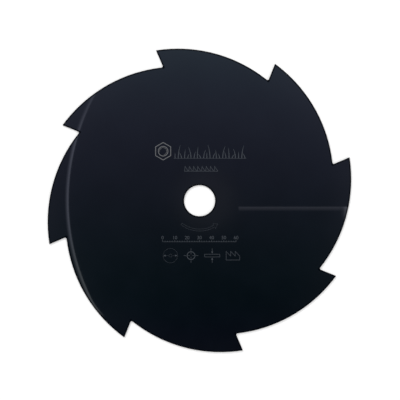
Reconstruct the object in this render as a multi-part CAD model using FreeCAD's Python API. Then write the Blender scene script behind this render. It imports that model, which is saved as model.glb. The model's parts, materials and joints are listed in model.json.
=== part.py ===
"""Brush cutter blade: a flat steel disc with saw teeth cut into its rim and a round bore in its middle.

The blade is one piece, cut from sheet and coated all over, so it is one solid. It lies flat, with its marked
face up. The origin is the middle of the bore on the underside, +Z is the axis of the bore, and +X runs
through the tip of one tooth. Seen from above, the tips point anticlockwise, the way that the blade turns.

Each tooth has a straight cutting face, which leans a little forward of the radius, and a long back that
curves down to the gullet of the tooth behind it. The plate has the same thickness everywhere, its faces
are square to the outline, and only the edges are lightly broken.

Sizes are in millimetres and angles in degrees.
"""

import FreeCAD, Part
import math
import os

# Driving dimensions
TIP_DIAMETER = 255.0  # circle through the tips of the teeth
BORE_DIAMETER = 25.4  # hole that seats on the boss of the cutter head
PLATE_THICKNESS = 1.4
TOOTH_COUNT = 8
TOOTH_DEPTH = 14.9  # from the tip circle in to the corner at the foot of the cutting face
HOOK_ANGLE = 7.0  # lean of the cutting face, forward of the radius through its tip
BACK_CLEARANCE = 7.2  # angle at the tip between the tooth's back and the tip circle
GULLET_RADIUS = 1.2  # rounding of the corner at the foot of the cutting face
EDGE_BREAK = 0.15  # rounding of every edge of the two flat faces

# Worked out from the driving dimensions
TIP_RADIUS = TIP_DIAMETER / 2
BORE_RADIUS = BORE_DIAMETER / 2
FOOT_RADIUS = TIP_RADIUS - TOOTH_DEPTH
PITCH = 360.0 / TOOTH_COUNT

UP = FreeCAD.Vector(0, 0, 1)


def polar(radius, angle):
    """The point on the underside at a radius and an angle, anticlockwise from +X."""
    return FreeCAD.Vector(
        radius * math.cos(math.radians(angle)),
        radius * math.sin(math.radians(angle)),
        0,
    )


def turned(point, angle):
    """A point or direction turned anticlockwise about the axis of the bore."""
    return FreeCAD.Rotation(UP, angle).multVec(point)


def face_foot():
    """The foot of the cutting face of the tooth on +X, as a sharp corner."""
    hook = math.radians(HOOK_ANGLE)
    reach = math.sqrt(FOOT_RADIUS**2 - (TIP_RADIUS * math.sin(hook)) ** 2)
    face_length = TIP_RADIUS * math.cos(hook) - reach
    return polar(TIP_RADIUS, 0) - polar(face_length, HOOK_ANGLE)


def back_middle(tip, foot):
    """The middle point of the back, an arc that leaves the tip at the clearance angle and ends at the foot."""
    along = polar(1, -90 - BACK_CLEARANCE)
    chord = foot - tip
    turn = along.getAngle(chord)
    rise = chord.Length / 2 * math.tan(turn / 2)
    outward = chord.cross(UP).normalize() * -1
    return tip + chord * 0.5 + outward * rise


def tooth_edges(angle):
    """The back of the tooth at an angle, and the cutting face of the tooth behind it."""
    tip = polar(TIP_RADIUS, 0)
    foot_behind = turned(face_foot(), -PITCH)
    middle = back_middle(tip, foot_behind)
    tip_behind = polar(TIP_RADIUS, -PITCH)
    back = Part.Arc(*(turned(p, angle) for p in (tip, middle, foot_behind)))
    face = Part.LineSegment(turned(foot_behind, angle), turned(tip_behind, angle))
    return [back.toShape(), face.toShape()]


def toothed_plate():
    """The plate with its teeth, all of its corners sharp."""
    edges = []
    for number in range(TOOTH_COUNT):
        edges += tooth_edges(-number * PITCH)
    outline = Part.Face(Part.Wire(edges))
    return outline.extrude(UP * PLATE_THICKNESS)


def is_upright(edge):
    """Does this edge run from the underside to the marked face?"""
    return edge.BoundBox.ZLength > PLATE_THICKNESS / 2


def from_axis(edge):
    """How far the middle of an edge lies from the axis of the bore."""
    return math.hypot(edge.CenterOfMass.x, edge.CenterOfMass.y)


def gullet_corners(plate):
    """The upright edges at the feet of the cutting faces: the tips have the others, which lie further out."""
    upright = [edge for edge in plate.Edges if is_upright(edge)]
    return sorted(upright, key=from_axis)[:TOOTH_COUNT]


def flat_edges(plate):
    """The edges of the underside and of the marked face."""
    return [edge for edge in plate.Edges if not is_upright(edge)]


def blade():
    """The whole blade: toothed, with rounded gullets, bored, and its edges broken."""
    plate = toothed_plate()
    plate = plate.makeFillet(GULLET_RADIUS, gullet_corners(plate))
    plate = plate.cut(Part.makeCylinder(BORE_RADIUS, PLATE_THICKNESS))
    plate = plate.makeFillet(EDGE_BREAK, flat_edges(plate))
    return plate.Solids[0]


def main():
    os.makedirs("parts", exist_ok=True)
    made = blade()
    box = made.optimalBoundingBox(False, False)
    print(f"blade: valid {made.isValid()}, volume {made.Volume:.1f} mm3, {len(made.Faces)} faces")
    print(f"blade: {box.XLength:.2f} x {box.YLength:.2f} x {box.ZLength:.2f} mm")
    made.exportStep("parts/blade.step")


main()
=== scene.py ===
"""Looks of the brush cutter blade: its gloss black coat, the marks etched in its face, and a small studio.

The blade itself is the solid model's own node, which only gets its coat here. What this script adds to it
are the etched marks. They are drawn in a print frame: millimetres from the middle of the bore, x to the
right and y up as the marks are read. That frame is turned against the part's own frame, whose +X runs
through the tip of a tooth.
"""

import json
import math

import bmesh
import bpy
from mathutils import Matrix, Vector


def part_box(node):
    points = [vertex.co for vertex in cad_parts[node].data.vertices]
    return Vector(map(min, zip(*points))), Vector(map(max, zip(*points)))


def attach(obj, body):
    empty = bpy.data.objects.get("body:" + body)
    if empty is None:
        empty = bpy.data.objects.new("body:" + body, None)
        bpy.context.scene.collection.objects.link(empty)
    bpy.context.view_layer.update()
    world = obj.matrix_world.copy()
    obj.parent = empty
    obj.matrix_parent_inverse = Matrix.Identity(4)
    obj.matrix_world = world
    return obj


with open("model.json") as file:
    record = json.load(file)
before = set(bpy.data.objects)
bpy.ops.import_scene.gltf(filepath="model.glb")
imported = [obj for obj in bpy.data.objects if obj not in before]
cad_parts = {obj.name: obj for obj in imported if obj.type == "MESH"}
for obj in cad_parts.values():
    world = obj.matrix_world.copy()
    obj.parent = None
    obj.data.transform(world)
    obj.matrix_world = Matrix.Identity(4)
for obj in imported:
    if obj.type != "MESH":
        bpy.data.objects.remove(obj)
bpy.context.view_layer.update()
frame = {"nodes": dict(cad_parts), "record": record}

# The part, in metres and degrees unless a name says otherwise
MM = 0.001
BLADE = frame["nodes"]["blade"]
LOW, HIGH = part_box("blade")
FACE = HIGH.z  # height of the upper face
TIP_RADIUS_MM = HIGH.x / MM
BORE_RADIUS_MM = frame["record"]["mounts"][0]["dims"]["r_mm"]
TOOTH_COUNT = 8
TOOTH_DEPTH_MM = 14.9
HOOK_ANGLE = 7.0
BACK_CLEARANCE = 7.2
PITCH = 360 / TOOTH_COUNT

# The photograph's view
IMAGE_SIDE = 400  # pixels
PIXELS_PER_MM = 1.2256
BORE_PIXEL = (199.589, 200.746)  # where the middle of the bore lies, from the top left corner
MARKS_TURN = -16.15  # from the part's +X to the way that the marks read
CAMERA_HEIGHT = 1.3
CAMERA_LEAN = (-0.0144, 0.0211)  # the camera's shift right and up the picture, for each metre of height
CAMERA_REACH = (0.05, 30.0)  # nearest and furthest that it sees
SENSOR_MM = 36.0

READ = Matrix.Rotation(math.radians(MARKS_TURN), 4, "Z")  # print frame to part frame
RIGHT = READ @ Vector((1, 0, 0))
UP = READ @ Vector((0, 1, 0))


def on_face(x_mm, y_mm):
    """The point of the upper face at a place in the print frame."""
    return RIGHT * (x_mm * MM) + UP * (y_mm * MM) + Vector((0, 0, FACE))


# Where the camera stands over the plate
AIM = on_face(
    (IMAGE_SIDE / 2 - BORE_PIXEL[0]) / PIXELS_PER_MM,
    (BORE_PIXEL[1] - IMAGE_SIDE / 2) / PIXELS_PER_MM,
)
EYE = AIM + CAMERA_HEIGHT * (RIGHT * CAMERA_LEAN[0] + UP * CAMERA_LEAN[1] + Vector((0, 0, 1)))


def make_camera():
    data = bpy.data.cameras.new("camera")
    camera = bpy.data.objects.new("camera", data)
    bpy.context.scene.collection.objects.link(camera)
    back = (EYE - AIM).normalized()
    across = UP.cross(back).normalized()
    upward = back.cross(across)
    turn = Matrix((across, upward, back)).transposed()
    camera.matrix_world = Matrix.Translation(EYE) @ turn.to_4x4()
    view_width = IMAGE_SIDE / PIXELS_PER_MM * MM
    data.sensor_width = SENSOR_MM
    data.lens = SENSOR_MM * (EYE - AIM).length / view_width
    data.clip_start, data.clip_end = CAMERA_REACH
    bpy.context.scene.camera = camera


# Shader nodes


def add_node(tree, kind, plugs=None, **settings):
    """A node with its settings and its inputs, each a number, a colour or another node's output."""
    made = tree.nodes.new(kind)
    for name, value in settings.items():
        setattr(made, name, value)
    for name, value in (plugs or {}).items():
        plug(tree, made.inputs[name], value)
    return made


def plug(tree, socket, value):
    if isinstance(value, bpy.types.NodeSocket):
        tree.links.new(value, socket)
    else:
        socket.default_value = value


def maths(tree, operation, a, b=0.0, c=0.0):
    made = add_node(tree, "ShaderNodeMath", {0: a, 1: b, 2: c}, operation=operation)
    return made.outputs[0]


def vectors(tree, operation, a, b=(0, 0, 0)):
    made = add_node(tree, "ShaderNodeVectorMath", {0: a, 1: b}, operation=operation)
    return made.outputs["Value" if operation in ("LENGTH", "DOT_PRODUCT", "DISTANCE") else "Vector"]


def scaled(tree, vector, scale):
    made = add_node(tree, "ShaderNodeVectorMath", {0: vector, "Scale": scale}, operation="SCALE")
    return made.outputs["Vector"]


def ramped(tree, value, low, high, to_low=0.0, to_high=1.0):
    """value from low to high, eased to between to_low and to_high."""
    plugs = {"Value": value, "From Min": low, "From Max": high, "To Min": to_low, "To Max": to_high}
    return add_node(tree, "ShaderNodeMapRange", plugs, interpolation_type="SMOOTHSTEP").outputs["Result"]


def clamped(tree, value, low, high):
    return add_node(tree, "ShaderNodeClamp", {"Value": value, "Min": low, "Max": high}).outputs[0]


def mixed(tree, factor, a, b):
    """Colour a where factor is 0 and colour b where it is 1."""
    made = add_node(tree, "ShaderNodeMix", data_type="RGBA")
    plug(tree, made.inputs[0], factor)
    plug(tree, made.inputs[6], a)
    plug(tree, made.inputs[7], b)
    return made.outputs[2]


def noise(tree, place, scale, detail):
    plugs = {"Vector": place, "Scale": scale, "Detail": detail}
    return add_node(tree, "ShaderNodeTexNoise", plugs).outputs["Fac"]


def place_mm(tree):
    """The place on the piece, in millimetres."""
    at = add_node(tree, "ShaderNodeTexCoord").outputs["Object"]
    return scaled(tree, at, 1 / MM)


def is_mirrored(tree, path):
    """1 for what is seen in a mirror or through glass, and 0 for the rest."""
    return maths(tree, "MAXIMUM", path.outputs["Is Glossy Ray"], path.outputs["Is Transmission Ray"])


def grey(level):
    return (level, level, level, 1.0)


def new_material(name):
    material = bpy.data.materials.new(name)
    material.use_nodes = True
    material.node_tree.nodes.clear()
    return material, material.node_tree


def finish_material(tree, shader):
    add_node(tree, "ShaderNodeOutputMaterial", {"Surface": shader})


# The black coat

COAT_DARK = (0.0014, 0.0028, 0.0055, 1)
COAT_PALE = (0.0020, 0.0036, 0.0068, 1)
RIM_COLOUR = (0.0010, 0.0017, 0.0036, 1)
CUT_COLOUR = (0.0060, 0.0070, 0.0090, 1)
RIM_EDGE_MM = (1.5, 0.7)  # how far in from an edge the coat starts to look darker, and where it is darkest
CUT_SLOPE = (0.75, 0.35)  # the normal's upright share where the face ends, and where a cut wall begins

FACE_ROUGHNESS = (0.035, 0.055)
CUT_ROUGHNESS = (0.25, 0.45)
FACE_SHINE = 0.5  # these three are specular levels
RIM_SHINE = 0.06
CUT_SHINE = 0.35
COAT_IOR = 1.5

# Noises, by how many features they have in a millimetre
CLOUDS = 0.035  # slow changes of the coat's colour
SPECKLE = 1.6  # of its gloss
PEEL = 0.55  # the orange peel
CUT_GRAIN = (6, 6, 0.6)  # streaks up the cut walls
NOISE_SPAN = (0.3, 0.7)  # most of a noise lies between these levels
PEEL_DEPTH = 6e-7
PEEL_STRENGTH = 0.5
CUT_RELIEF = 8.0  # how much deeper than the peel the streaks are


def polar(radius, angle):
    return Vector((radius * math.cos(math.radians(angle)), radius * math.sin(math.radians(angle)), 0))


def tooth_lines():
    """The tip, the way in along the cutting face, the face's length, and the back's centre and radius.

    They are those of the tooth whose tip lies one pitch on from +X, in millimetres.
    """
    foot_radius = TIP_RADIUS_MM - TOOTH_DEPTH_MM
    hook = math.radians(HOOK_ANGLE)
    reach = math.sqrt(foot_radius**2 - (TIP_RADIUS_MM * math.sin(hook)) ** 2)
    face_length = TIP_RADIUS_MM * math.cos(hook) - reach
    tip = polar(TIP_RADIUS_MM, PITCH)
    inward = polar(-1, PITCH + HOOK_ANGLE)
    foot_behind = polar(TIP_RADIUS_MM, 0) + polar(-face_length, HOOK_ANGLE)
    start = polar(1, PITCH - 90 - BACK_CLEARANCE)
    chord = foot_behind - tip
    radius = chord.length / 2 / math.sin(start.angle(chord))
    centre = tip + radius * polar(1, PITCH - 180 - BACK_CLEARANCE)
    return tip, inward, face_length, centre, radius


def edge_distance(tree, place):
    """How far a point of the plate lies from the nearest edge, in millimetres.

    The plate is folded like a fan into the one pitch between +X and the next tip.
    """
    tip, inward, face_length, centre, radius = tooth_lines()
    parts = add_node(tree, "ShaderNodeSeparateXYZ", {0: place})
    angle = maths(tree, "ARCTAN2", parts.outputs["Y"], parts.outputs["X"])
    folded = maths(tree, "FLOORED_MODULO", angle, math.radians(PITCH))
    flat = vectors(tree, "MULTIPLY", place, (1, 1, 0))
    out = vectors(tree, "LENGTH", flat)
    across = maths(tree, "MULTIPLY", out, maths(tree, "COSINE", folded))
    along = maths(tree, "MULTIPLY", out, maths(tree, "SINE", folded))
    point = add_node(tree, "ShaderNodeCombineXYZ", {0: across, 1: along}).outputs[0]
    from_back = maths(tree, "SUBTRACT", radius, vectors(tree, "DISTANCE", point, centre))
    reach = vectors(tree, "DOT_PRODUCT", vectors(tree, "SUBTRACT", point, tip), inward)
    held = maths(tree, "MINIMUM", maths(tree, "MAXIMUM", reach, 0.0), face_length)
    nearest = vectors(tree, "ADD", scaled(tree, inward, held), tip)
    from_face = vectors(tree, "DISTANCE", point, nearest)
    from_bore = maths(tree, "SUBTRACT", out, BORE_RADIUS_MM)
    return maths(tree, "MINIMUM", maths(tree, "MINIMUM", from_back, from_face), from_bore)


def make_coat():
    """Gloss black over steel: near black with a little blue, smooth, with a faint orange peel."""
    material, tree = new_material("gloss_black_coat")
    place = place_mm(tree)
    geometry = add_node(tree, "ShaderNodeNewGeometry")
    upright = add_node(tree, "ShaderNodeSeparateXYZ", {0: geometry.outputs["Normal"]}).outputs["Z"]
    cut = ramped(tree, maths(tree, "ABSOLUTE", upright), *CUT_SLOPE)
    rim = ramped(tree, edge_distance(tree, place), *RIM_EDGE_MM)
    grain = noise(tree, vectors(tree, "MULTIPLY", place, CUT_GRAIN), 1.0, detail=3.0)

    clouds = ramped(tree, noise(tree, place, CLOUDS, detail=3.0), *NOISE_SPAN)
    colour = mixed(tree, clouds, COAT_DARK, COAT_PALE)
    colour = mixed(tree, rim, colour, RIM_COLOUR)
    cut_colour = mixed(tree, grain, RIM_COLOUR, CUT_COLOUR)
    colour = mixed(tree, cut, colour, cut_colour)

    face_rough = ramped(tree, noise(tree, place, SPECKLE, detail=3.0), *NOISE_SPAN, *FACE_ROUGHNESS)
    cut_rough = ramped(tree, grain, *NOISE_SPAN, *CUT_ROUGHNESS)
    roughness = add_node(tree, "ShaderNodeMix", {0: cut, 2: face_rough, 3: cut_rough}, data_type="FLOAT")
    face_shine = ramped(tree, rim, 0.0, 1.0, FACE_SHINE, RIM_SHINE)
    shine = maths(tree, "MAXIMUM", face_shine, maths(tree, "MULTIPLY", cut, CUT_SHINE))

    streaks = maths(tree, "MULTIPLY", maths(tree, "MULTIPLY", grain, cut), CUT_RELIEF)
    height = maths(tree, "ADD", noise(tree, place, PEEL, detail=1.0), streaks)
    plugs = {"Height": height, "Strength": PEEL_STRENGTH, "Distance": PEEL_DEPTH}
    bump = add_node(tree, "ShaderNodeBump", plugs)
    surface = add_node(tree, "ShaderNodeBsdfPrincipled", {
        "Base Color": colour,
        "Roughness": roughness.outputs[0],
        "Specular IOR Level": shine,
        "IOR": COAT_IOR,
        "Normal": bump.outputs[0],
    })
    finish_material(tree, surface.outputs[0])
    return material


# The etched ground of the marks

ETCH_DEEP = (0.124, 0.128, 0.134)  # where the coat is etched away
ETCH_LIGHT = (0.050, 0.058, 0.070)  # where it is only dulled
ETCH_CHANGE = 0.3  # how much the colour varies either way
ETCH_GRAIN = 5.0  # features in a millimetre
ETCH_DEPTH = 1e-5
ETCH_STRENGTH = 0.4
ETCH_SPAN = (0.2, 0.8)
ETCH_ROUGHNESS = (0.5, 0.7)
ETCH_SHINE = 0.3


def make_etch(name, colour):
    """The grey, matt ground of the etched marks, with a fine grain."""
    material, tree = new_material(name)
    grain = noise(tree, place_mm(tree), ETCH_GRAIN, detail=4.0)
    dark, pale = ([part * share for part in colour] + [1] for share in (1 - ETCH_CHANGE, 1 + ETCH_CHANGE))
    plugs = {"Height": grain, "Strength": ETCH_STRENGTH, "Distance": ETCH_DEPTH}
    bump = add_node(tree, "ShaderNodeBump", plugs)
    surface = add_node(tree, "ShaderNodeBsdfPrincipled", {
        "Base Color": mixed(tree, ramped(tree, grain, *NOISE_SPAN), dark, pale),
        "Roughness": ramped(tree, grain, *ETCH_SPAN, *ETCH_ROUGHNESS),
        "Specular IOR Level": ETCH_SHINE,
        "Normal": bump.outputs[0],
    })
    finish_material(tree, surface.outputs[0])
    return material


# The etched marks, in millimetres

MARK_RISE = 0.02  # so thin that it only shows as a change of surface
MARK_SINK = 0.02
WELD = 1e-5  # points of a mark closer than this become one
MITRE_LIMIT = 0.4  # least cosine by which a stroke widens at its corners
CURVE_STEP = 3.0  # degrees from one point of a drawn arc to the next
FIGURE_SHARE = 0.69  # how much of the font's size the height of a figure takes
FIGURE_STEPS = 4

LINE = 0.3
FINE_LINE = 0.13


class Mark:
    """One etched figure, as closed slabs that lie in the upper face. Its points are in the print frame."""

    def __init__(self, name):
        self.name = name
        self.mesh = bmesh.new()

    def ring_of_faces(self, lower, upper, closed):
        """Faces between two rows of as many vertices, all the way round where closed."""
        count = len(lower)
        for i in range(count if closed else count - 1):
            j = (i + 1) % count
            self.mesh.faces.new((lower[i], lower[j], upper[j], upper[i]))

    def layer(self, points, z):
        """Vertices over the points, at a height above the face."""
        return [self.mesh.verts.new((x, y, z)) for x, y in points]

    def patch(self, points):
        """A filled outline."""
        bottom = self.layer(points, -MARK_SINK)
        top = self.layer(points, MARK_RISE)
        self.mesh.faces.new(top)
        self.mesh.faces.new(bottom[::-1])
        self.ring_of_faces(bottom, top, closed=True)

    def stroke(self, points, width, closed=False):
        """A line with mitred corners, of one width or with a width for each point."""
        widths = width if isinstance(width, list) else [width] * len(points)
        left, right = [], []
        for i, (x, y) in enumerate(points):
            before = points[i - 1] if i or closed else points[0]
            after = points[(i + 1) % len(points)] if i < len(points) - 1 or closed else points[-1]
            ways = [Vector((x - before[0], y - before[1])), Vector((after[0] - x, after[1] - y))]
            ways = [way.normalized() for way in ways if way.length > 0]
            way = sum(ways, Vector((0, 0))).normalized()
            half = widths[i] / 2 / max(way.dot(ways[0]), MITRE_LIMIT)
            left.append((x - way.y * half, y + way.x * half))
            right.append((x + way.y * half, y - way.x * half))
        low_left, low_right = self.layer(left, -MARK_SINK), self.layer(right, -MARK_SINK)
        top_left, top_right = self.layer(left, MARK_RISE), self.layer(right, MARK_RISE)
        self.ring_of_faces(top_right, top_left, closed)
        self.ring_of_faces(low_left, low_right, closed)
        self.ring_of_faces(low_right, top_right, closed)
        self.ring_of_faces(top_left, low_left, closed)
        if not closed:
            for i in (0, -1):
                self.mesh.faces.new((low_left[i], low_right[i], top_right[i], top_left[i]))

    def line(self, start, end, width):
        self.stroke([start, end], width)

    def ring(self, centre, radius, width):
        self.stroke(arc(centre, radius, 0, 360)[:-1], width, closed=True)

    def figures(self, digits, middle, height):
        """A plain number, centred on a point."""
        curve = bpy.data.curves.new(self.name + "_text", "FONT")
        curve.body = digits
        curve.size = height / FIGURE_SHARE
        curve.align_x = "CENTER"
        curve.align_y = "CENTER"
        curve.extrude = (MARK_RISE + MARK_SINK) / 2
        curve.resolution_u = FIGURE_STEPS
        holder = bpy.data.objects.new(self.name + "_text", curve)
        mesh = bpy.data.meshes.new_from_object(holder)
        mesh.transform(Matrix.Translation((middle[0], middle[1], (MARK_RISE - MARK_SINK) / 2)))
        self.mesh.from_mesh(mesh)
        bpy.data.objects.remove(holder)
        bpy.data.meshes.remove(mesh)
        bpy.data.curves.remove(curve)

    def done(self, material):
        """Closes the figure, lays it in the upper face and fastens it to the part."""
        bmesh.ops.remove_doubles(self.mesh, verts=self.mesh.verts, dist=WELD)
        bmesh.ops.recalc_face_normals(self.mesh, faces=self.mesh.faces)
        data = bpy.data.meshes.new(self.name)
        self.mesh.to_mesh(data)
        self.mesh.free()
        data.transform(Matrix.Translation((0, 0, FACE)) @ READ @ Matrix.Scale(MM, 4))
        data.materials.append(material)
        piece = bpy.data.objects.new(self.name, data)
        bpy.context.scene.collection.objects.link(piece)
        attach(piece, "root")


def spot(centre, radius, angle):
    """The point at a radius and an angle from a centre, in the print frame."""
    turn = math.radians(angle)
    return (centre[0] + radius * math.cos(turn), centre[1] + radius * math.sin(turn))


def arc(centre, radius, start, end):
    """Points along an arc, from one angle to another."""
    count = math.ceil(abs(end - start) / CURVE_STEP)
    return [spot(centre, radius, start + (end - start) * i / count) for i in range(count + 1)]


def draw_nut(material):
    """The nut that holds the blade, from above: a hexagon, its bore and three quarters of the thread."""
    centre = (-29.7, 40.4)
    corner, corner_line = 7.1, 0.62
    bore, bore_line = 3.9, 0.6
    thread, thread_start, thread_end, thread_line = 2.9, -80, 190, 0.26
    mark = Mark("mark_nut")
    mark.stroke([spot(centre, corner, 30 + 60 * side) for side in range(6)], corner_line, closed=True)
    mark.ring(centre, bore, bore_line)
    mark.stroke(arc(centre, thread, thread_start, thread_end), thread_line)
    mark.done(material)


def draw_grass(material):
    """A strip of grass on a ground line: tall and short blades in turn, which bend to either side."""
    first, last, beyond = -20.0, 37.0, 1.2
    ground, ground_line = 34.6, 0.26
    count, steps = 23, 6
    tall, tall_change, tall_turn = 8.6, 2.2, 1.3  # the turns are in radians, from one blade to the next
    short_share = 0.5
    bend_most, bend_turn = 2.1, 2.2
    tip_width, foot_more = 0.12, 0.56
    shares = [i / steps for i in range(steps + 1)]
    widths = [tip_width + foot_more * (1 - share**2) for share in shares]
    foot = ground + ground_line / 2
    mark = Mark("mark_grass")
    mark.line((first - beyond, ground), (last + beyond, ground), ground_line)
    for number in range(count):
        x = first + (last - first) * number / (count - 1)
        height = tall + tall_change * math.sin(number * tall_turn)
        height *= 1 if number % 2 else short_share
        bend = bend_most * math.sin(number * bend_turn)
        mark.stroke([(x + bend * share**2, foot + height * share) for share in shares], widths)
    mark.done(material)


def draw_teeth_row(material):
    """A row of small saw teeth, as many as the blade has."""
    first, pitch, foot, rise, line = -12.3, 3.45, 24.1, 3.9, 0.34
    profile = ((0, 0), (0.5, 1), (1.7, 0.5), (2.9, 0.12), (2.9, 0))  # along the row, and share of the rise
    mark = Mark("mark_teeth_row")
    for number in range(TOOTH_COUNT):
        x = first + number * pitch
        mark.stroke([(x + along, foot + share * rise) for along, share in profile], line, closed=True)
    mark.done(material)


def draw_turn_arrow(material):
    """The arrow under the bore that shows which way the blade turns, drawn in outline."""
    centre, inner, outer, flare = (0, 0), 23.1, 24.7, 1.5
    start, neck, tip = 232, 300, 308
    outline = arc(centre, outer, start, neck)
    outline.append(spot(centre, outer + flare, neck))
    outline.append(spot(centre, (inner + outer) / 2, tip))
    outline.append(spot(centre, inner - flare, neck))
    outline += arc(centre, inner, neck, start)
    mark = Mark("mark_turn_arrow")
    mark.stroke(outline, FINE_LINE, closed=True)
    mark.done(material)


def draw_scale(material):
    """A short graduated scale with plain numbers, in millimetres."""
    start, length, step, label_step = -30.2, 60, 2, 10
    foot, base_line, tick_line = -33.5, 0.26, 0.34
    long_tick, short_tick = 1.5, 0.85
    label_rise, label_height = 3.25, 2.75
    mark = Mark("mark_scale")
    mark.line((start, foot), (start + length, foot), base_line)
    for tick in range(0, length + 1, step):
        reach = short_tick if tick % label_step else long_tick
        mark.line((start + tick, foot + base_line / 2), (start + tick, foot + reach), tick_line)
    for tick in range(0, length + 1, label_step):
        mark.figures(str(tick), (start + tick, foot + label_rise), label_height)
    mark.done(material)


# Four icons in a row, for the sizes that the blade is chosen by
ICON_MIDDLE = -44.8
ICON_REACH = 5.9


def draw_arrow(mark, start, tip, width):
    """A line from start with an arrowhead that ends at the tip."""
    head, half_head = 1.8, 0.75
    tip = Vector(tip)
    way = (tip - Vector(start)).normalized()
    foot = tip - way * head
    side = way.orthogonal() * half_head
    mark.patch([tuple(tip), tuple(foot + side), tuple(foot - side)])
    mark.line(start, tuple(foot), width)


def draw_icon_across(material):
    """A disc with its hole, and an arrow out to each side: the width over the tips."""
    centre, hole = (-23.8, ICON_MIDDLE), 1.2
    arrow_start, arrow_tip = hole + 0.5, ICON_REACH - 0.2
    mark = Mark("mark_icon_across")
    mark.ring(centre, ICON_REACH, FINE_LINE)
    mark.ring(centre, hole, FINE_LINE)
    for angle in (0, 180):
        draw_arrow(mark, spot(centre, arrow_start, angle), spot(centre, arrow_tip, angle), FINE_LINE)
    mark.done(material)


def draw_icon_bore(material):
    """A ring with a cross of centre lines: the bore."""
    centre, ring, ring_line = (-7.0, ICON_MIDDLE), 3.2, 0.5
    dashes = ((0.9, 2.6), (3.8, ICON_REACH))  # of each arm of the cross
    mark = Mark("mark_icon_bore")
    mark.ring(centre, ring, ring_line)
    for angle in range(0, 360, 90):
        for start, end in dashes:
            mark.line(spot(centre, start, angle), spot(centre, end, angle), LINE)
    mark.done(material)


def draw_icon_thickness(material):
    """Two long faces with an arrow on each: the thickness of the sheet."""
    x, y = 10.3, ICON_MIDDLE
    half_length, half_gap, clearance = 6.2, 1.1, 0.4
    corners = ((-1, -1), (1, -1), (1, 1), (-1, 1))
    mark = Mark("mark_icon_thickness")
    mark.stroke([(x + i * half_length, y + j * half_gap) for i, j in corners], LINE, closed=True)
    for way in (1, -1):
        draw_arrow(mark, (x, y + way * ICON_REACH), (x, y + way * (half_gap + clearance)), LINE)
    mark.done(material)


def draw_icon_teeth(material):
    """Three saw teeth on a base: the teeth."""
    left, foot, width, count = 21.7, ICON_MIDDLE - 3.6, 3.7, 3
    rise, valley = 7.0, 3.15
    outline = [(left, foot)]
    for tooth in range(count):
        x = left + tooth * width
        outline += [(x, foot + rise), (x + width, foot + valley)]
    outline.append((left + count * width, foot))
    mark = Mark("mark_icon_teeth")
    mark.stroke(outline, LINE, closed=True)
    mark.done(material)


# The studio

# The sky that the upper face mirrors, as a colour for each place where it is seen in the face: a part that
# is the same all over, parts that grow with the way up the picture, with its square and with its cube, and
# one that grows to the sides, most at the upper right and the lower left. Places are measured from the
# bore, in SKY_UNIT metres.
SKY_UNIT = 0.1087
SKY_EVEN = (0.116, 0.127, 0.180)
SKY_SLOPE = (0.202, 0.161, 0.315)
SKY_CURVE = (0.066, 0.101, 0.142)
SKY_CUBE = (-0.029, 0.060, -0.012)
SKY_SIDES = (0.018, 0.027, 0.039)
SKY_ACROSS = (-1.2, 1.2)  # past these places the sky changes no more, to the sides
SKY_UPWARD = (-1.0, 1.2)  # nor down and up the picture
SKY_SPOT = (0.120, 0.115, 0.115)  # a soft pale spot, mirrored around the bore
SKY_SPOT_PLACE = (0.046, 0, 0)
SKY_SPOT_EDGE = (0.32, 0.10)
SKY_RING = (0.080, 0.072, 0.085)  # a soft pale ring, mirrored towards the teeth
SKY_RING_EDGE = (0.90, 1.20)
SKY_RING_FADE = (-0.2, -0.8, 1.0, 0.45)  # it weakens down the picture: from, to, and its share at each
SKY_FADE = (0.13, 0.60, 1.0, 0.4)  # the sky darkens with its slant, a tangent: from, to, and the shares
SKY_HAZE = (0.15, 1.4)  # the slants between which the sky gives way to the walls
LEAST_RISE = 0.02  # what is lower than this sine is taken as this high

# The walls around it, which the face mirrors only when it is seen from well off its axis
WALL_TINT = (0.92, 0.97, 1.08)
WALL_LEVEL = 0.13  # between the windows
WINDOWS = 12  # tall soft windows, evenly spaced around the walls
WINDOW_AZIMUTH = 23  # of the middle of one window, from +X
WINDOW_LEVEL = 0.40  # how much paler a window is than the walls
WINDOW_SLOPE = 0.35  # the share of that which one of its sides gains on its middle, and the other loses
WINDOW_EDGE = 0.35  # how soft its two sides are
WINDOW_FOOT = (0.10, 0.16)  # the sines of the elevations between which it begins
WINDOW_TOP = (0.98, 0.60)  # and between which it fades upwards

KEY_AZIMUTH = 120  # the key lamp's place, from image right, and its elevation
KEY_ELEVATION = 42
KEY_SHEEN = 0.25  # how bright the key lamp is where it is mirrored
KEY_SHEEN_EDGE = (0.94, 0.965)  # the cosines between which its rim fades
AMBIENT = 0.64


def studio_way(azimuth, elevation):
    """The direction at an azimuth, anticlockwise from image right, and an elevation."""
    level = RIGHT * math.cos(math.radians(azimuth)) + UP * math.sin(math.radians(azimuth))
    rise = math.radians(elevation)
    return level * math.cos(rise) + Vector((0, 0, math.sin(rise)))


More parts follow.
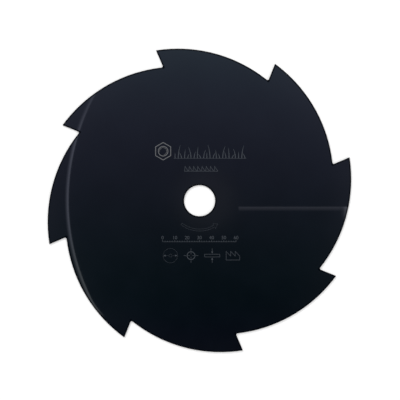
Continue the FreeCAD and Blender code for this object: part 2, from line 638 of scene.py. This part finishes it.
def make_sky(tree, way, high):
    """The dark sky overhead, as a colour."""
    places = []
    for axis in (RIGHT, UP):
        along = maths(tree, "DIVIDE", vectors(tree, "DOT_PRODUCT", way, axis), high)
        seen = maths(tree, "MULTIPLY_ADD", along, EYE.z - FACE, EYE.dot(axis))
        places.append(maths(tree, "DIVIDE", seen, SKY_UNIT))
    across, upward = places
    held_across = clamped(tree, across, *SKY_ACROSS)
    held_upward = clamped(tree, upward, *SKY_UPWARD)
    curve = maths(tree, "MULTIPLY", held_upward, held_upward)
    cube = maths(tree, "MULTIPLY", curve, held_upward)
    sides = maths(tree, "MULTIPLY", held_across, maths(tree, "ADD", held_across, held_upward))
    place = add_node(tree, "ShaderNodeCombineXYZ", {0: across, 1: upward}).outputs[0]
    ring = ramped(tree, vectors(tree, "LENGTH", place), *SKY_RING_EDGE)
    from_spot = vectors(tree, "DISTANCE", place, SKY_SPOT_PLACE)
    sky = SKY_EVEN
    for colour, level in (
        (SKY_SLOPE, held_upward),
        (SKY_CURVE, curve),
        (SKY_CUBE, cube),
        (SKY_SIDES, sides),
        (SKY_SPOT, ramped(tree, from_spot, *SKY_SPOT_EDGE)),
        (SKY_RING, maths(tree, "MULTIPLY", ring, ramped(tree, upward, *SKY_RING_FADE))),
    ):
        sky = vectors(tree, "ADD", scaled(tree, colour, level), sky)
    return vectors(tree, "MAXIMUM", sky, (0, 0, 0))


def make_walls(tree, way, high):
    """The walls with their windows and the mirrored key lamp, as a colour."""
    ways = add_node(tree, "ShaderNodeSeparateXYZ", {0: way}).outputs
    around = maths(tree, "ARCTAN2", ways["Y"], ways["X"])
    turned = maths(tree, "MULTIPLY_ADD", around, WINDOWS, math.radians(-WINDOWS * WINDOW_AZIMUTH))
    window = maths(tree, "MULTIPLY_ADD", maths(tree, "SINE", turned), WINDOW_SLOPE, 1.0)
    for share in (
        ramped(tree, maths(tree, "COSINE", turned), -WINDOW_EDGE, WINDOW_EDGE),
        ramped(tree, high, *WINDOW_FOOT),
        ramped(tree, high, *WINDOW_TOP),
    ):
        window = maths(tree, "MULTIPLY", window, share)
    key_close = vectors(tree, "DOT_PRODUCT", way, studio_way(KEY_AZIMUTH, KEY_ELEVATION))
    level = maths(tree, "MULTIPLY_ADD", window, WINDOW_LEVEL, WALL_LEVEL)
    level = maths(tree, "ADD", level, ramped(tree, key_close, *KEY_SHEEN_EDGE, 0.0, KEY_SHEEN))
    return scaled(tree, WALL_TINT, level)


def make_world():
    """White behind the object, an even light on it, and a dark sky with walls for it to mirror."""
    world = bpy.data.worlds.new("studio")
    bpy.context.scene.world = world
    world.use_nodes = True
    tree = world.node_tree
    tree.nodes.clear()
    way = add_node(tree, "ShaderNodeTexCoord").outputs["Generated"]
    high = maths(tree, "MAXIMUM", vectors(tree, "DOT_PRODUCT", way, (0, 0, 1)), LEAST_RISE)
    level = vectors(tree, "LENGTH", vectors(tree, "MULTIPLY", way, (1, 1, 0)))
    slant = maths(tree, "DIVIDE", level, high)
    sky = scaled(tree, make_sky(tree, way, high), ramped(tree, slant, *SKY_FADE))
    mirrored = mixed(tree, ramped(tree, slant, *SKY_HAZE), sky, make_walls(tree, way, high))
    path = add_node(tree, "ShaderNodeLightPath")
    colour = mixed(tree, is_mirrored(tree, path), grey(AMBIENT), mirrored)
    colour = mixed(tree, path.outputs["Is Camera Ray"], colour, grey(1.0))
    background = add_node(tree, "ShaderNodeBackground", {"Color": colour})
    add_node(tree, "ShaderNodeOutputWorld", {"Surface": background.outputs[0]})
    world.cycles.sampling_method = "NONE"


FLOOR_COLOUR = 0.85
FLOOR_ROUGHNESS = 0.9
FLOOR_SHINE = 0.1
FLOOR_GLOW = 0.24  # where it is seen, so that it is white around the object's shadow
FLOOR_DROP = 0.0001
FLOOR_SIDE = 8.0


def make_floor():
    material, tree = new_material("floor_white")
    path = add_node(tree, "ShaderNodeLightPath")
    shown = maths(tree, "MAXIMUM", path.outputs["Is Camera Ray"], is_mirrored(tree, path))
    surface = add_node(tree, "ShaderNodeBsdfPrincipled", {
        "Base Color": grey(FLOOR_COLOUR),
        "Roughness": FLOOR_ROUGHNESS,
        "Specular IOR Level": FLOOR_SHINE,
        "Emission Color": grey(1.0),
        "Emission Strength": maths(tree, "MULTIPLY", shown, FLOOR_GLOW),
    })
    finish_material(tree, surface.outputs[0])
    half = FLOOR_SIDE / 2
    corners = ((-half, -half), (half, -half), (half, half), (-half, half))
    data = bpy.data.meshes.new("floor")
    data.from_pydata([(x, y, LOW.z - FLOOR_DROP) for x, y in corners], [], [(0, 1, 2, 3)])
    data.materials.append(material)
    floor = bpy.data.objects.new("floor", data)
    bpy.context.scene.collection.objects.link(floor)


def make_lamp(name, azimuth, elevation, distance, side, watts):
    """A square soft lamp that faces the blade."""
    data = bpy.data.lights.new(name, "AREA")
    data.size = side
    data.energy = watts
    lamp = bpy.data.objects.new(name, data)
    toward = studio_way(azimuth, elevation)
    lamp.location = toward * distance
    lamp.rotation_mode = "QUATERNION"
    lamp.rotation_quaternion = toward.to_track_quat("Z", "Y")
    lamp.visible_glossy = False
    bpy.context.scene.collection.objects.link(lamp)


# Pale strips of the studio that the upper face mirrors to the camera. They are placed by where they are
# seen in the face, in the print frame, and each glow is a share of the strip's tint.
STRIP_HEIGHT = 0.06
STRIP_BEAM = (0.06, 0.015)  # they shine straight down: 1 less the slant's cosine where dark, and where full


def mirrored_place(x_mm, y_mm):
    """Where a thing over the face has to be, for the camera to see it mirrored at a place in the face."""
    seen = on_face(x_mm, y_mm)
    share = STRIP_HEIGHT / (EYE.z - FACE)
    return seen + (seen - EYE) * share * Vector((1, 1, 0)) + Vector((0, 0, STRIP_HEIGHT))


def make_strip(name, rows):
    """A glowing strip. rows are lists of (x, y, light), in order across it, all with as many points.

    A light is a colour, as a vector.
    """
    material, tree = new_material(name)
    colour = add_node(tree, "ShaderNodeAttribute", attribute_name="glow").outputs["Vector"]
    slant = add_node(tree, "ShaderNodeLayerWeight", {"Blend": 0.5}).outputs["Facing"]
    beam = ramped(tree, slant, *STRIP_BEAM)
    glow = add_node(tree, "ShaderNodeEmission", {"Color": colour, "Strength": beam})
    clear = add_node(tree, "ShaderNodeBsdfTransparent")
    both = add_node(tree, "ShaderNodeAddShader", {0: glow.outputs[0], 1: clear.outputs[0]})
    finish_material(tree, both.outputs[0])
    material.cycles.emission_sampling = "NONE"
    count = len(rows[0])
    points = [mirrored_place(x, y) for row in rows for x, y, _ in row]
    faces = [
        (r * count + i, r * count + i + 1, (r + 1) * count + i + 1, (r + 1) * count + i)
        for r in range(len(rows) - 1)
        for i in range(count - 1)
    ]
    data = bpy.data.meshes.new(name)
    data.from_pydata(points, [], faces)
    values = data.attributes.new("glow", "FLOAT_VECTOR", "POINT").data
    for value, light in zip(values, [light for row in rows for _, _, light in row]):
        value.vector = light
    data.materials.append(material)
    strip = bpy.data.objects.new(name, data)
    bpy.context.scene.collection.objects.link(strip)
    strip.visible_camera = False
    strip.visible_diffuse = False
    strip.visible_shadow = False
    strip.visible_transmission = False
    strip.visible_volume_scatter = False


def share_between(value, start, end):
    """0 up to start, 1 from end on, and even between them."""
    return min(1.0, max(0.0, (value - start) / (end - start)))


# The arc's angles are anticlockwise from image right, around its centre
ARC_CENTRE = (74.9, 0.1)
ARC_RADIUS = 181.5
ARC_SPAN = (150, 214)
ARC_RISE = (155, 167)  # where it grows to its full brightness
ARC_START = 0.5  # its share of that before
ARC_TURN = (186, 198)  # where its tint changes
ARC_FADE = (209, 212)  # where it fades out
ARC_BEND = (206, 0.08)  # where it starts to bend in, and how much: millimetres for a degree squared
ARC_TINT = Vector((0.85, 0.90, 1.15))
ARC_END_TINT = Vector((0.90, 0.98, 1.04))
ARC_ACROSS = ((-0.1, 0.0), (0.45, 1.2), (1.2, 1.15), (2.1, 0.45), (3.3, 0.0))  # millimetres out, and glow


def make_arc_strip():
    """The long pale arc at the left: sharp inside, fading outwards, bent in along the rim at its end."""
    rows = []
    for out, glow in ARC_ACROSS:
        row = []
        for angle in range(ARC_SPAN[0], ARC_SPAN[1] + 1):
            level = ARC_START + (1 - ARC_START) * share_between(angle, *ARC_RISE)
            level *= 1 - share_between(angle, *ARC_FADE)
            tint = ARC_TINT.lerp(ARC_END_TINT, share_between(angle, *ARC_TURN))
            bend = ARC_BEND[1] * max(0.0, angle - ARC_BEND[0]) ** 2
            x, y = spot(ARC_CENTRE, ARC_RADIUS + out - bend, angle)
            row.append((x, y, tint * glow * level))
        rows.append(row)
    make_strip("studio_arc", rows)


BAR_TINT = Vector((0.42, 0.43, 0.52))
BAR_DOWN = ((-4.6, 0.0), (-5.3, 1.1), (-5.7, 1.0), (-6.4, 0.68), (-7.4, 0.42), (-8.5, 0.0))  # y, and glow
BAR_ALONG = ((31.4, 0), (32.4, 1), (135.0, 1))  # x, and share of the glow


def make_bar_strip():
    """The pale bar at the right: a sharp upper side, fading downwards."""
    rows = [[(x, y, BAR_TINT * glow * share) for x, share in BAR_ALONG] for y, glow in BAR_DOWN]
    make_strip("studio_bar", rows)


END_TINT = Vector((0.60, 0.62, 0.72))
END_ALONG = ((114.8, 0.0), (117.3, 0.3), (118.3, 0.9), (119.6, 1.5), (122.0, 1.6))  # x, and glow
END_DOWN = ((-4.6, 0), (-5.4, 1), (-11.5, 0.8), (-19.0, 0))  # y, and share of the glow


def make_end_strip():
    """The bright end of the bar, which turns down along the rim."""
    rows = [[(x, y, END_TINT * glow * share) for y, share in END_DOWN] for x, glow in END_ALONG]
    make_strip("studio_bar_end", rows)


def main():
    make_camera()
    BLADE.data.materials.clear()
    BLADE.data.materials.append(make_coat())
    draw_nut(make_etch("etched_deep", ETCH_DEEP))
    light = make_etch("etched_light", ETCH_LIGHT)
    for draw in (
        draw_grass,
        draw_teeth_row,
        draw_turn_arrow,
        draw_scale,
        draw_icon_across,
        draw_icon_bore,
        draw_icon_thickness,
        draw_icon_teeth,
    ):
        draw(light)
    make_world()
    make_floor()
    make_lamp("key_lamp", KEY_AZIMUTH, KEY_ELEVATION, distance=1.7, side=1.0, watts=14)
    make_lamp("fill_lamp", azimuth=-35, elevation=35, distance=1.9, side=0.8, watts=6)
    make_arc_strip()
    make_bar_strip()
    make_end_strip()
    bpy.context.scene.view_settings.view_transform = "Standard"


main()
